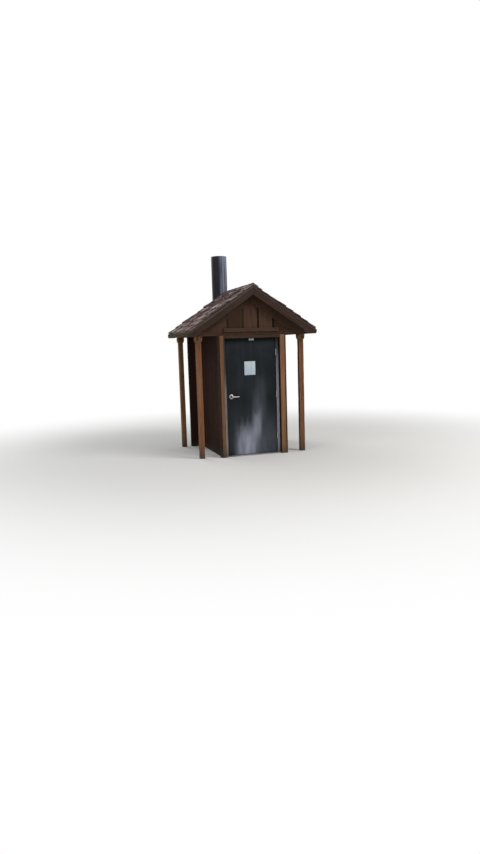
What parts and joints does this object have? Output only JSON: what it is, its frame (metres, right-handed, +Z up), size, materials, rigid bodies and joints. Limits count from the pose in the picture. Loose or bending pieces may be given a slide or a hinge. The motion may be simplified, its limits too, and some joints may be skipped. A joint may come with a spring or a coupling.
{
  "type": "outhouse",
  "caption": "Small timber outhouse: narrow boarded hut with a hinged steel door under a shake gable roof on posts, and a round vent pipe standing behind.",
  "frame": {"origin": "on the ground at the middle of the outline", "axes": "+Z up, +Y from the door towards the back, +X to the right seen from the door's side"},
  "size_m": [2.342, 2.1887, 3.6787],
  "materials": {
    "stained_wood": "dark stained boards",
    "trim_wood": "brown stained",
    "gable_wood": "brown stained",
    "post_wood": "brown stained",
    "deck_wood": "sawn",
    "shake_wood": "weathered",
    "door_paint": "satin, dusty",
    "frame_paint": "satin",
    "sign_paint": "satin",
    "galvanised_steel": "dull",
    "satin_steel": "satin",
    "pipe_black": "semi-matt",
    "concrete": "trowelled"
  },
  "bodies": {
    "hut": {"floor_slab": "concrete", "door_sill": "galvanised_steel", "left_wall": "stained_wood", "right_wall": "stained_wood", "back_wall": "stained_wood", "front_wall_left": "stained_wood", "front_wall_right": "stained_wood", "door_lintel": "trim_wood", "corner_board_left": "trim_wood", "corner_board_right": "trim_wood", "door_frame_left": "frame_paint", "door_frame_right": "frame_paint", "door_frame_head": "frame_paint", "post_front_left": "post_wood", "post_front_right": "post_wood", "post_rear_left": "post_wood", "post_rear_right": "post_wood", "post_caps": "post_wood", "side_beam_left": "trim_wood", "side_beam_right": "trim_wood", "front_beam": "trim_wood", "rear_beam": "trim_wood", "ridge_board": "deck_wood", "rafters": "deck_wood", "roof_deck_left": "deck_wood", "roof_deck_right": "deck_wood", "shakes_left": "shake_wood", "shakes_right": "shake_wood", "ridge_cap": "shake_wood", "fascia_left": "trim_wood", "fascia_right": "trim_wood", "rake_boards_front": "trim_wood", "rake_boards_rear": "trim_wood", "front_gable": "gable_wood", "rear_gable": "gable_wood", "drip_board": "trim_wood", "vent_pipe": "pipe_black", "pipe_straps": "galvanised_steel", "frame_hinges": "satin_steel"},
    "door": {"door_leaf": "door_paint", "sign_plate": "sign_paint", "head_plate": "galvanised_steel", "lever_roses": "satin_steel", "leaf_hinges": "satin_steel"},
    "lever": {"door_lever": "satin_steel"}
  },
  "joints": [
    {"name": "door_hinge", "type": "hinge", "parent": "hut", "child": "door", "pos_m": [0.4605, -0.8659, 1], "axis": [0, 0, 1], "range_deg": [0, 100]},
    {"name": "lever_turn", "type": "hinge", "parent": "door", "child": "lever", "pos_m": [-0.382, -0.8329, 1.05], "axis": [0, 1, 0], "range_deg": [0, 45], "stiffness_Nm_per_rad": 1.5, "springref_deg": -34.38}
  ]
}
